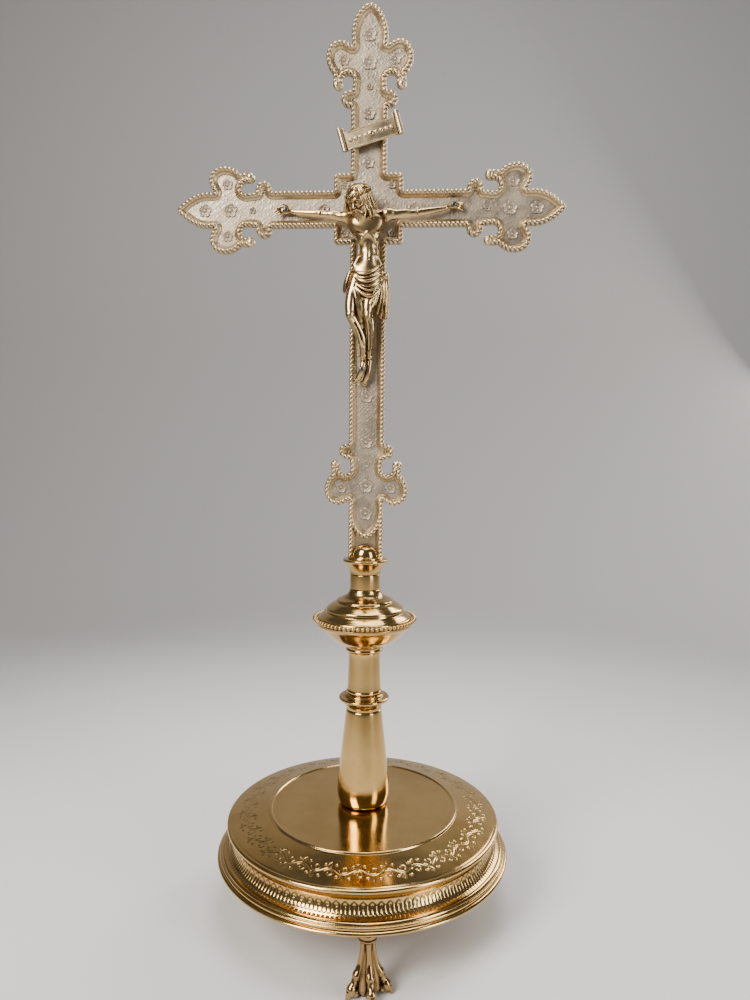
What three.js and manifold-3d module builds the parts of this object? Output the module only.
// Altar cross: a cast brass cross with a corpus, on a turned stem and a spun round base that
// stands on three claw feet. Millimetres, +Z up, +Y to the back. The origin lies on the table
// under the middle of the base.
import * as THREE from "three";
import { mergeVertices } from "three/addons/utils/BufferGeometryUtils.js";
import Module from "manifold-3d";

// ---- Driving dimensions ----

const GAP = 0.3; // air left between pieces that touch
const FOOT_HEIGHT = 33; // table to the top of a claw foot
const BASE_RADIUS = 90; // widest bead of the base
const LIP_RADIUS = 84; // rolled lip of the top plate
const LIP_Z = 54.5; // middle of that lip
const FOOT_CIRCLE_RADIUS = 83; // where the three necks of the feet stand
const FRONT_FOOT_TWIST_DEG = 11; // the front foot is screwed on a little past square
const TOE_SPREAD_DEG = 66;
const BASE_TURN_DEG = 6.8; // the base sits turned on its tie rod
const SHEET = 1.2; // spun brass sheet

const CROSS_CENTRE_Z = 424.7;
const ARM_LENGTH = 115; // centre to tip: top arm and both side arms
const LOWER_ARM_LENGTH = 195.5; // centre to the tip of the lower fleuron
const BAR_HALF_WIDTH = 10.7;
const PLATE_HALF_WIDTH = 20.5; // square plate at the crossing
const CROSS_THICKNESS = 5.6;
const RIM_WIDTH = 2.8; // raised border
const GROUND_DEPTH = 3; // sunk ground inside the border, on the front
const BAR_BOTTOM_Z = 218.2;

const ROD_RADIUS = 3; // M6 tie rod
const ROD_BORE = 3.4;
const NAIL_RADIUS = 0.9;
const NAIL_BORE = 1.25;

const HAND_NAILS = { left: [-48.8, -1], right: [49.9, 1.1] }; // x, height above the cross centre
const FOOT_NAIL = [-2.6, -94.5];
const NAIL_PLACES = [HAND_NAILS.left, HAND_NAILS.right, FOOT_NAIL];
const TITULUS = { x: 1.3, rise: 41.5, width: 35.6, height: 10.4, tilt: 16.5 };

const TURNED_STEPS = 24; // sides of a small turned piece
const BASE_STEPS = 40; // sides of a base ring

const FRONT = -CROSS_THICKNESS / 2;
const BACK = CROSS_THICKNESS / 2;

// ---- Materials ----

const POLISHED_BRASS = { color: 0xd3a94e, roughness: 0.22, metalness: 1 };
const CAST_BRASS = { color: 0xbda983, roughness: 0.5, metalness: 1 };
const FIGURE_BRASS = { color: 0xb98f4a, roughness: 0.3, metalness: 1 };
const STEEL = { color: 0x8d8f91, roughness: 0.4, metalness: 1 };

// ---- Solids, joins and cuts ----

const wasm = await Module();
wasm.setup();

function solidOf(geometry) {
  const bare = new THREE.BufferGeometry();
  const loose = geometry.index ? geometry.toNonIndexed() : geometry;
  bare.setAttribute("position", loose.getAttribute("position"));
  const merged = mergeVertices(bare, 1e-4);
  return new wasm.Manifold(
    new wasm.Mesh({
      numProp: 3,
      vertProperties: merged.getAttribute("position").array,
      triVerts: new Uint32Array(merged.index.array),
    }),
  );
}

function geometryOf(solid) {
  const mesh = solid.getMesh();
  const positions = new THREE.BufferAttribute(mesh.vertProperties, mesh.numProp);
  const geometry = new THREE.BufferGeometry().setAttribute("position", positions);
  geometry.setIndex(new THREE.BufferAttribute(mesh.triVerts, 1));
  geometry.computeVertexNormals();
  return geometry;
}

function join(...geometries) {
  const solids = geometries.map(solidOf);
  return geometryOf(solids.reduce((whole, next) => whole.add(next)));
}

function cut(geometry, ...tools) {
  const solids = tools.map(solidOf);
  return geometryOf(solids.reduce((whole, tool) => whole.subtract(tool), solidOf(geometry)));
}

// A profile of [radius, z] points, turned round +Z. It runs anticlockwise seen with the axis
// on the left, and closes on itself unless it starts and ends on the axis.
function turned(profile, steps = TURNED_STEPS) {
  const points = profile.map(([r, z]) => new THREE.Vector2(r, z));
  const onAxis = points[0].x === 0 && points.at(-1).x === 0;
  if (!onAxis) points.push(points[0].clone());
  return new THREE.LatheGeometry(points, steps).rotateX(Math.PI / 2);
}

// A turned shell: the outline from bottom to top, and a straight bore.
function turnedWithBore(outline, bore, steps = TURNED_STEPS) {
  const top = outline.at(-1)[1];
  const bottom = outline[0][1];
  return turned([...outline, [bore, top], [bore, bottom]], steps);
}

function box(xSize, ySize, zSize, x, y, z) {
  return new THREE.BoxGeometry(xSize, ySize, zSize).translate(x, y, z);
}

// A round bar along Z.
function bar(radius, bottom, top, steps = 12) {
  const height = top - bottom;
  const along = new THREE.CylinderGeometry(radius, radius, height, steps).rotateX(Math.PI / 2);
  return along.translate(0, 0, (bottom + top) / 2);
}

// A round bar along Y, between two depths.
function barAlongY(radius, from, to, x, z, steps = 12) {
  const geometry = new THREE.CylinderGeometry(radius, radius, to - from, steps);
  return geometry.translate(x, (from + to) / 2, z);
}

// An outline drawn in X and Z, as thick as depth, with its front face at y = front.
function upright(shape, front, depth, curveSegments = 6) {
  const settings = { depth, bevelEnabled: false, steps: 1, curveSegments };
  const geometry = new THREE.ExtrudeGeometry(shape, settings).rotateX(Math.PI / 2);
  return geometry.translate(0, front + depth, 0);
}

// A ball stretched to three radii and leaned to the side by tilt degrees.
function blob(radii, centre, tilt = 0) {
  const geometry = new THREE.SphereGeometry(1, 10, 7).scale(...radii);
  return geometry.rotateY(THREE.MathUtils.degToRad(tilt)).translate(...centre);
}

// A tapered limb with round ends between two points.
function limb(from, to, fromRadius, toRadius, sides = 7) {
  const start = new THREE.Vector3(...from);
  const run = new THREE.Vector3(...to).sub(start);
  const length = run.length();
  const points = [];
  for (let i = 0; i <= 2; i++) {
    const a = (i * Math.PI) / 4;
    points.push(new THREE.Vector2(fromRadius * Math.sin(a), -fromRadius * Math.cos(a)));
  }
  for (let i = 0; i <= 2; i++) {
    const a = (i * Math.PI) / 4;
    points.push(new THREE.Vector2(toRadius * Math.cos(a), length + toRadius * Math.sin(a)));
  }
  points[0].x = 0;
  points.at(-1).x = 0;
  const geometry = new THREE.LatheGeometry(points, sides);
  const turn = new THREE.Quaternion();
  turn.setFromUnitVectors(new THREE.Vector3(0, 1, 0), run.normalize());
  return geometry.applyQuaternion(turn).translate(...from);
}

function named(name, geometry, finish) {
  const mesh = new THREE.Mesh(geometry, new THREE.MeshStandardMaterial(finish));
  mesh.name = name;
  return mesh;
}

// ---- Claw feet and their screws ----

function clawFoot() {
  const neck = turned([
    [0, 0], [4.6, 0], [5.6, 1.2], [5.2, 4], [4.6, 9], [4.2, 16], [4.3, 25], [4.3, 30.6],
    [5.2, 31.4], [5.2, FOOT_HEIGHT], [0, FOOT_HEIGHT],
  ], 14);
  const toes = [-TOE_SPREAD_DEG, 0, TOE_SPREAD_DEG].flatMap((angle) => {
    const a = THREE.MathUtils.degToRad(angle);
    const at = (reach, z) => [reach * Math.sin(a), -reach * Math.cos(a), z];
    return [
      limb(at(1.4, 24), at(4.6, 15), 2.3, 2.6),
      limb(at(4.6, 15), at(10.2, 6), 2.6, 3.1),
      limb(at(11, 5), at(13.3, 1), 1.9, 0.7),
    ];
  });
  const below = box(60, 60, 10, 0, 0, -5);
  const tapped = bar(2, FOOT_HEIGHT - 11, FOOT_HEIGHT + 1);
  return cut(join(neck, ...toes), below, tapped);
}

const SCREW_HEAD_Z = 35 + GAP; // on the turned-in flange of the base

function footScrew() {
  return turned([
    [0, FOOT_HEIGHT - 9.5], [1.7, FOOT_HEIGHT - 9.5], [1.7, SCREW_HEAD_Z],
    [2.6, SCREW_HEAD_Z], [2.6, SCREW_HEAD_Z + 1.4], [0, SCREW_HEAD_Z + 1.9],
  ], 12);
}

function atFoot(mesh, degreesRound, twist = 0) {
  const place = new THREE.Group();
  mesh.position.y = -FOOT_CIRCLE_RADIUS;
  mesh.rotation.z = THREE.MathUtils.degToRad(twist);
  place.rotation.z = THREE.MathUtils.degToRad(degreesRound);
  place.add(mesh);
  return place;
}

// ---- Base ----

const RING_BOTTOM = FOOT_HEIGHT + GAP;
const RING_TOP = 35;

function baseBottomRing() {
  const ring = turned([
    [72, RING_BOTTOM], [88.4, RING_BOTTOM], [89.6, 33.8], [BASE_RADIUS, 34.6],
    [89.6, 35.4], [88.4, 35.9], [86.6, 35.9], [86.2, RING_TOP], [72, RING_TOP],
  ], BASE_STEPS);
  const holes = [0, 120, 240].map((angle) => {
    const hole = bar(2.1, 30, 40).translate(0, -FOOT_CIRCLE_RADIUS, 0);
    return hole.rotateZ(THREE.MathUtils.degToRad(angle));
  });
  return cut(ring, ...holes);
}

function baseSideBand() {
  const outside = [
    [88.3, 36.2], [88.2, 37.5], [86.9, 38.9], [84.7, 39.7], [82.6, 40.2], [81.6, 41.2],
    [80.2, 43.2], [79.5, 45.6], [79.5, 48.4], [80.2, 50.8], [81, 52],
  ];
  const inside = [[81 - SHEET, 52], [78.3, 47], [80.2, 41.4], [85.6, 38.6], [87, 36.2]];
  return turned([...outside, ...inside], BASE_STEPS);
}

function baseTopPlate() {
  const top = [
    [81, 52.3], [83.2, 52.5], [LIP_RADIUS, 53.4], [LIP_RADIUS, LIP_Z], [83.3, 55.2],
    [82, 55.3], [58.5, 60.4], [58.1, 61.1], [57.4, 61.4], [56.7, 61.1], [56.3, 60.5],
    [16, 62.3], [ROD_BORE, 62.4],
  ];
  const underside = [[ROD_BORE, 61.2], [56, 59.2], [81, 53.7]];
  return turned([...top, ...underside], BASE_STEPS);
}

// ---- Tie rod under the whole stem ----

const tieRod = () => bar(ROD_RADIUS, 49, 204.8);
const rodWasher = () => turnedWithBore([[9, 59], [9, 60.5]], ROD_BORE, 32);
const rodNut = () => cut(bar(5.8, 53.8, 58.7, 6), bar(ROD_BORE, 50, 60));

// ---- Turned stem, from the base upwards ----

function stemCone() {
  const outside = [
    [13, 62.8], [14.4, 63.4], [15.6, 66], [16.2, 70], [16, 75], [14.9, 86],
    [13.5, 100], [11.6, 118], [11, 122.4],
  ];
  const inside = [[ROD_BORE, 122.4], [ROD_BORE, 119.4], [9, 119.4], [14, 70], [ROD_BORE, 66]];
  return turned([...outside, ...inside, [ROD_BORE, 62.8]]);
}

function stemRing() {
  return turnedWithBore([
    [11, 122.7], [11.2, 124.4], [12.4, 126.8], [14.6, 128.2], [15.5, 128.9], [15.5, 129.9],
    [14.6, 130.6], [12.6, 130.8], [11.9, 131.3], [11.9, 132.2], [11.1, 132.8],
  ], ROD_BORE);
}

function middleTube() {
  const outside = [[10.7, 133.1], [10.7, 134.4], [9.9, 146], [9.65, 156], [9.8, 159]];
  const inside = [[8, 159], [8, 133.1]];
  return turned([...outside, ...inside]);
}

function knopLowerShell() {
  const outside = [
    [10.9, 159.3], [11.4, 160.2], [10.9, 161.2], [10.9, 162], [12.2, 163], [16.4, 164.6],
    [20.6, 167.2], [24.2, 170.8], [27.2, 174.6], [29.6, 176.6],
  ];
  const inside = [[29.6, 177.8], [26.4, 175.8], [23, 171.6], [19.6, 168.2], [ROD_BORE, 163.6]];
  return turned([...outside, ...inside, [ROD_BORE, 159.3]]);
}

function knopBeadRing() {
  const round = [];
  for (let i = 0; i < 10; i++) {
    const a = (i * Math.PI) / 5;
    round.push([30.6 + 1.35 * Math.cos(a), 179.5 + 1.35 * Math.sin(a)]);
  }
  return turned(round);
}

function knopUpperShell() {
  const outside = [
    [28.9, 178.2], [28.9, 180.4], [26.6, 182.2], [24.6, 183.6], [23.8, 184.6], [23.6, 186.2],
    [21.4, 188.2], [17.9, 189.8], [17.3, 191], [14, 192.6], [11, 194.8], [9.5, 197.2],
    [9.3, 197.7],
  ];
  const inside = [[7, 197.7], [7, 193.4], [16, 188.6], [22.4, 184.8], [27.6, 180]];
  return turned([...outside, ...inside, [27.6, 178.2]]);
}

const neckTube = () => turnedWithBore([[9.15, 198], [9.15, 207]], 6.9);

const SOCKET_SCREW_Z = 211.4;

function crossSocket() {
  const body = turned([
    [0, 199], [6.5, 199], [6.5, 207.3], [9.3, 207.3], [9.6, 208.6], [10.8, 211.6],
    [12.9, 214.2], [13.7, 215.2], [13.6, 216.2], [12.6, 216.6], [10.6, 216.7], [10.7, 217.4],
    [9.6, 217.8], [8, 217.8], [8, 220.2], [7.1, 223], [5, 225.4], [0, 226.6],
  ]);
  const slot = box(60, CROSS_THICKNESS + 2 * GAP, 20, 0, 0, 227.8);
  const pocket = box(14.6, 5.2, 14, 0, 0, 214.7);
  const rodHole = bar(ROD_RADIUS + 0.35, 190, 205.2);
  const screwHole = barAlongY(1.85, 0, 20, 0, SOCKET_SCREW_Z);
  return cut(body, slot, pocket, rodHole, screwHole);
}

function socketScrew() {
  const shank = barAlongY(1.5, 2.9, 13.4, 0, SOCKET_SCREW_Z);
  const head = barAlongY(2.4, 13, 14.5, 0, SOCKET_SCREW_Z, 16);
  const slot = box(8, 1.2, 0.7, 0, 14.4, SOCKET_SCREW_Z);
  return cut(join(shank, head), slot);
}

// ---- Cross ----

// One side of a fleuron arm, from the crossing plate to the tip: u runs out along the arm and
// h away from its axis. `stretch` is the extra length of the lower arm.
function fleuronSide(stretch) {
  const h = BAR_HALF_WIDTH;
  const path = new THREE.Path();
  path.moveTo(PLATE_HALF_WIDTH, h);
  path.lineTo(stretch + 57.6, h);
  path.bezierCurveTo(stretch + 57.4, 14.6, stretch + 60, 16.6, stretch + 62.5, 16.6);
  path.bezierCurveTo(stretch + 65, 16.6, stretch + 67.6, 14.6, stretch + 67.4, h - 0.6);
  path.lineTo(stretch + 73.2, 9.6);
  path.bezierCurveTo(stretch + 76.4, 9.8, stretch + 77.6, 14.6, stretch + 73.4, 16);
  path.bezierCurveTo(stretch + 70.4, 15, stretch + 67.6, 16.2, stretch + 67.8, 18.6);
  path.bezierCurveTo(stretch + 68.2, 21.4, stretch + 72.6, 21.8, stretch + 76.4, 21);
  path.bezierCurveTo(stretch + 82.4, 28.4, stretch + 95.6, 26.2, stretch + 95.4, 17);
  path.bezierCurveTo(stretch + 95.2, 14, stretch + 93.6, 12.4, stretch + 92.4, 10.2);
  path.bezierCurveTo(stretch + 102, 12.2, stretch + 110.5, 8.8, stretch + ARM_LENGTH, 0);
  return path;
}

function armOutline(stretch) {
  const side = fleuronSide(stretch).getPoints(4);
  const otherSide = side.slice(0, -1).reverse().map((p) => new THREE.Vector2(p.x, -p.y));
  return [...side, ...otherSide].reverse();
}

// The whole outline: four arms turned round the centre, and the corners of the plate.
function crossOutline() {
  const origin = new THREE.Vector2();
  const points = [];
  for (let quarter = 0; quarter < 4; quarter++) {
    const turn = (quarter * Math.PI) / 2;
    const stretch = quarter === 3 ? LOWER_ARM_LENGTH - ARM_LENGTH : 0;
    const arm = armOutline(stretch).map((p) => p.rotateAround(origin, turn));
    const corner = new THREE.Vector2(PLATE_HALF_WIDTH, PLATE_HALF_WIDTH);
    points.push(...arm, corner.rotateAround(origin, turn));
  }
  return points.map((p) => new THREE.Vector2(p.x, p.y + CROSS_CENTRE_Z));
}

function crossCasting() {
  const body = upright(new THREE.Shape(crossOutline()), FRONT, CROSS_THICKNESS);
  const belowTip = LOWER_ARM_LENGTH - 25;
  const tailHeight = CROSS_CENTRE_Z - belowTip - BAR_BOTTOM_Z;
  const tail = box(2 * BAR_HALF_WIDTH, CROSS_THICKNESS, tailHeight, 0, 0, BAR_BOTTOM_Z + tailHeight / 2);
  const tang = box(14, 4.6, 12, 0, 0, 214);
  const places = [...NAIL_PLACES, [TITULUS.x, TITULUS.rise]];
  return cut(join(body, tail, tang), ...groundPockets(), ...holesThrough(places, -10, 10));
}

function pocket(xSize, zSize, x, z) {
  return box(xSize, 2 * GROUND_DEPTH, zSize, x, FRONT, CROSS_CENTRE_Z + z);
}

// The sunk ground: plate, bars and the round leaves of each fleuron.
function groundPockets() {
  const width = 2 * (BAR_HALF_WIDTH - RIM_WIDTH);
  const plate = 2 * (PLATE_HALF_WIDTH - RIM_WIDTH);
  const reach = ARM_LENGTH - 12;
  const tail = LOWER_ARM_LENGTH - 12;
  const pockets = [
    pocket(plate, plate, 0, 0),
    pocket(2 * reach, width, 0, 0),
    pocket(width, reach + tail, 0, (reach - tail) / 2),
  ];
  const leaf = [85.6, 15];
  const lower = LOWER_ARM_LENGTH - ARM_LENGTH;
  for (const side of [-1, 1]) {
    const places = [
      [leaf[0], side * leaf[1]], [-leaf[0], side * leaf[1]],
      [side * leaf[1], leaf[0]], [side * leaf[1], -leaf[0] - lower],
    ];
    for (const [x, z] of places) {
      const height = CROSS_CENTRE_Z + z;
      pockets.push(barAlongY(6, FRONT - 2, FRONT + GROUND_DEPTH, x, height, 16));
    }
  }
  return pockets;
}

function holesThrough(places, from, to) {
  return places.map(([x, rise]) => barAlongY(NAIL_BORE, from, to, x, CROSS_CENTRE_Z + rise));
}

// ---- Titulus: a thin scroll with both ends curled forwards ----

const TITULUS_BACK = FRONT - GAP;

function titulusScroll() {
  const half = TITULUS.width / 2;
  const curl = 1.9;
  const thick = 1.3;
  const strip = new THREE.Shape();
  strip.moveTo(-half + curl, 0);
  strip.lineTo(half - curl, 0);
  strip.absarc(half - curl, curl, curl, -Math.PI / 2, Math.PI, false);
  strip.lineTo(half - 2 * curl, thick);
  strip.lineTo(-half + 2 * curl, thick);
  strip.absarc(-half + curl, curl, curl, 0, (3 * Math.PI) / 2, false);
  const settings = { depth: TITULUS.height, bevelEnabled: false, curveSegments: 12 };
  const band = new THREE.ExtrudeGeometry(strip, settings);
  band.rotateX(Math.PI).translate(0, 0, TITULUS.height / 2);
  band.rotateY(-THREE.MathUtils.degToRad(TITULUS.tilt));
  band.translate(TITULUS.x, TITULUS_BACK, CROSS_CENTRE_Z + TITULUS.rise);
  return cut(band, ...holesThrough([[TITULUS.x, TITULUS.rise]], -20, 0));
}

function titulusRivet() {
  const z = CROSS_CENTRE_Z + TITULUS.rise;
  const shank = barAlongY(NAIL_RADIUS, TITULUS_BACK - 2, BACK + 0.8, TITULUS.x, z);
  const head = barAlongY(1.8, TITULUS_BACK - 2.8, TITULUS_BACK - 1.6, TITULUS.x, z);
  const tail = barAlongY(1.7, BACK + GAP, BACK + 1.1, TITULUS.x, z);
  return join(shank, head, tail);
}

// ---- Corpus ----

// Places on the figure as [x, y, height above the cross centre].
const FIGURE = {
  head: [-4.4, -13.2, 0.7],
  hair: [-3.8, -11.2, -0.4],
  neck: [-1.6, -10.4, -8],
  chest: [0.6, -9.6, -14],
  waist: [1.9, -9.4, -27],
  pelvis: [0.3, -9.6, -42],
  leftShoulder: [-8.4, -8.4, -8.4],
  leftElbow: [-27.5, -5.6, -4],
  leftWrist: [-43.4, -3.4, -2.2],
  leftPalm: [-48.4, -2.2, -1],
  leftFingers: [-53.2, -1.8, -2],
  rightShoulder: [9, -8.4, -8],
  rightElbow: [28.5, -5.6, -4.2],
  rightWrist: [45, -3.4, -0.9],
  rightPalm: [49.8, -2.2, 0.9],
  rightFingers: [53.4, -1.8, -0.4],
  leftHip: [-5.4, -9.6, -43],
  leftKnee: [-8.3, -13.6, -63],
  leftAnkle: [-2, -8.4, -88],
  leftToes: [-5.3, -5.4, -99.6],
  rightHip: [5.6, -9.6, -43],
  rightKnee: [0.4, -13.4, -64],
  rightAnkle: [-0.4, -4.8, -89],
  rightToes: [-2.2, -2.4, -102],
  drapeTop: [8.8, -8, -41],
  drapeEnd: [7.2, -7.6, -66],
};

const onFigure = (place) => [place[0], place[1], place[2] + CROSS_CENTRE_Z];

function figureLimb(from, to, fromRadius, toRadius) {
  return limb(onFigure(FIGURE[from]), onFigure(FIGURE[to]), fromRadius, toRadius);
}

function corpus() {
  const figure = join(
    blob([7.2, 6.6, 9], onFigure(FIGURE.head), 12),
    blob([10.6, 5.6, 9], onFigure(FIGURE.hair), 12),
    figureLimb("neck", "chest", 3.6, 4.6),
    blob([9, 5.6, 8.4], onFigure(FIGURE.chest)),
    figureLimb("chest", "waist", 5.6, 4.9),
    figureLimb("waist", "pelvis", 4.9, 5.8),
    blob([10.6, 5.8, 9.4], onFigure(FIGURE.pelvis)),
    figureLimb("drapeTop", "drapeEnd", 3.4, 2.8),
    figureLimb("leftShoulder", "leftElbow", 3.2, 2),
    figureLimb("leftElbow", "leftWrist", 2.1, 1.4),
    figureLimb("leftWrist", "leftPalm", 1.4, 2),
    figureLimb("leftPalm", "leftFingers", 1.9, 1),
    figureLimb("rightShoulder", "rightElbow", 3.2, 2),
    figureLimb("rightElbow", "rightWrist", 2.1, 1.4),
    figureLimb("rightWrist", "rightPalm", 1.4, 2),
    figureLimb("rightPalm", "rightFingers", 1.9, 1),
    figureLimb("leftHip", "leftKnee", 5.6, 3.7),
    figureLimb("leftKnee", "leftAnkle", 3.5, 2.1),
    figureLimb("leftAnkle", "leftToes", 2.3, 1.7),
    figureLimb("rightHip", "rightKnee", 5.6, 3.7),
    figureLimb("rightKnee", "rightAnkle", 3.5, 2.1),
    figureLimb("rightAnkle", "rightToes", 2.2, 1.6),
  );
  return cut(figure, ...holesThrough(NAIL_PLACES, -20, 0));
}

// A nail with a domed head in front of the figure, threaded at the back of the cross.
function nail([x, rise], headDepth) {
  const z = CROSS_CENTRE_Z + rise;
  const shank = barAlongY(NAIL_RADIUS, headDepth, BACK + 3.4, x, z);
  const head = barAlongY(1.7, headDepth - 0.9, headDepth + 0.1, x, z);
  return join(shank, head);
}

function nailNut([x, rise]) {
  const hexagon = new THREE.CylinderGeometry(2.7, 2.7, 2, 6);
  hexagon.translate(x, BACK + GAP + 1, CROSS_CENTRE_Z + rise);
  return cut(hexagon, ...holesThrough([[x, rise]], 0, 10));
}

// ---- Assembly ----

const base = new THREE.Group();
base.rotation.z = THREE.MathUtils.degToRad(BASE_TURN_DEG);
base.add(
  named("base_bottom_ring", baseBottomRing(), POLISHED_BRASS),
  named("base_side_band", baseSideBand(), POLISHED_BRASS),
  named("base_top_plate", baseTopPlate(), POLISHED_BRASS),
);
for (const [place, angle] of [["front", 0], ["right", 120], ["left", 240]]) {
  const twist = place === "front" ? FRONT_FOOT_TWIST_DEG : 0;
  base.add(
    atFoot(named(`claw_foot_${place}`, clawFoot(), CAST_BRASS), angle, twist),
    atFoot(named(`foot_screw_${place}`, footScrew(), STEEL), angle),
  );
}

const stem = new THREE.Group();
stem.add(
  named("tie_rod", tieRod(), STEEL),
  named("tie_rod_washer", rodWasher(), STEEL),
  named("tie_rod_nut", rodNut(), STEEL),
  named("stem_cone", stemCone(), POLISHED_BRASS),
  named("stem_ring", stemRing(), POLISHED_BRASS),
  named("middle_tube", middleTube(), POLISHED_BRASS),
  named("knop_lower_shell", knopLowerShell(), POLISHED_BRASS),
  named("knop_bead_ring", knopBeadRing(), POLISHED_BRASS),
  named("knop_upper_shell", knopUpperShell(), POLISHED_BRASS),
  named("neck_tube", neckTube(), POLISHED_BRASS),
  named("cross_socket", crossSocket(), POLISHED_BRASS),
  named("socket_screw", socketScrew(), STEEL),
);

const HAND_HEAD_DEPTH = -4.5; // the palms' front
const FOOT_HEAD_DEPTH = -9.4; // the upper foot's front
const cross = new THREE.Group();
cross.add(
  named("cross_casting", crossCasting(), CAST_BRASS),
  named("corpus", corpus(), FIGURE_BRASS),
  named("titulus_scroll", titulusScroll(), CAST_BRASS),
  named("titulus_rivet", titulusRivet(), CAST_BRASS),
  named("hand_nail_left", nail(HAND_NAILS.left, HAND_HEAD_DEPTH), STEEL),
  named("hand_nail_right", nail(HAND_NAILS.right, HAND_HEAD_DEPTH), STEEL),
  named("foot_nail", nail(FOOT_NAIL, FOOT_HEAD_DEPTH), STEEL),
  named("hand_nut_left", nailNut(HAND_NAILS.left), STEEL),
  named("hand_nut_right", nailNut(HAND_NAILS.right), STEEL),
  named("foot_nut", nailNut(FOOT_NAIL), STEEL),
);

const altarCross = new THREE.Group();
altarCross.add(base, stem, cross);

export default altarCross;
